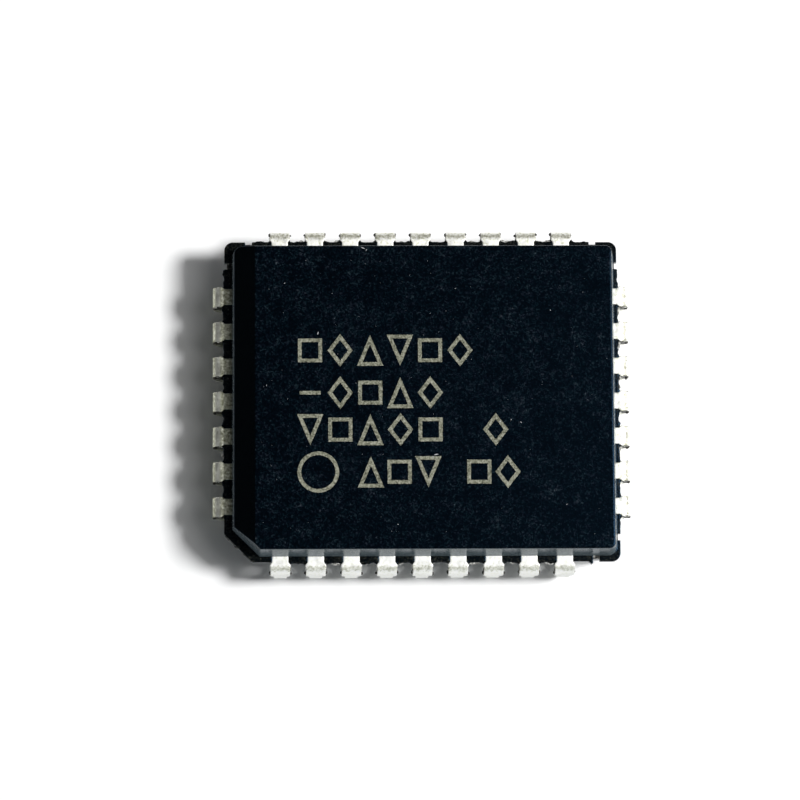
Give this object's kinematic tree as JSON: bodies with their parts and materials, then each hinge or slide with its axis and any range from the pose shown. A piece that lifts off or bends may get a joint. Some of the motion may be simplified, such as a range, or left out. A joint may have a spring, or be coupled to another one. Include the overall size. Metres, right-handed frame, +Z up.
{
  "type": "plastic leaded chip carrier",
  "caption": "Rectangular moulded chip package with J-shaped leads on all four sides, one bevelled edge and one chamfered corner.",
  "frame": {"origin": "on the seating plane that the J leads stand on, under the middle of the package", "axes": "+X along the long sides, away from the bevelled side with the first lead; +Y along the short sides, away from the chamfered corner; +Z up out of the top face"},
  "size_m": [0.015, 0.0124, 0.0034],
  "materials": {
    "mould_compound": "matte, fine grain",
    "lead_plating": "dull tin plating",
    "paddle_metal": "bare copper alloy",
    "attach_glue": "silver-filled glue",
    "silicon": "polished",
    "gold_wire": "drawn gold"
  },
  "bodies": {
    "root": {"mould_body": "mould_compound", "die_paddle": "paddle_metal", "die_attach": "attach_glue", "die": "silicon", "bond_wires": "gold_wire", "lead_01": "lead_plating", "lead_02": "lead_plating", "lead_03": "lead_plating", "lead_04": "lead_plating", "lead_05": "lead_plating", "lead_06": "lead_plating", "lead_07": "lead_plating", "lead_08": "lead_plating", "lead_09": "lead_plating", "lead_10": "lead_plating", "lead_11": "lead_plating", "lead_12": "lead_plating", "lead_13": "lead_plating", "lead_14": "lead_plating", "lead_15": "lead_plating", "lead_16": "lead_plating", "lead_17": "lead_plating", "lead_18": "lead_plating", "lead_19": "lead_plating", "lead_20": "lead_plating", "lead_21": "lead_plating", "lead_22": "lead_plating", "lead_23": "lead_plating", "lead_24": "lead_plating", "lead_25": "lead_plating", "lead_26": "lead_plating", "lead_27": "lead_plating", "lead_28": "lead_plating", "lead_29": "lead_plating", "lead_30": "lead_plating", "lead_31": "lead_plating", "lead_32": "lead_plating"}
  },
  "joints": []
}
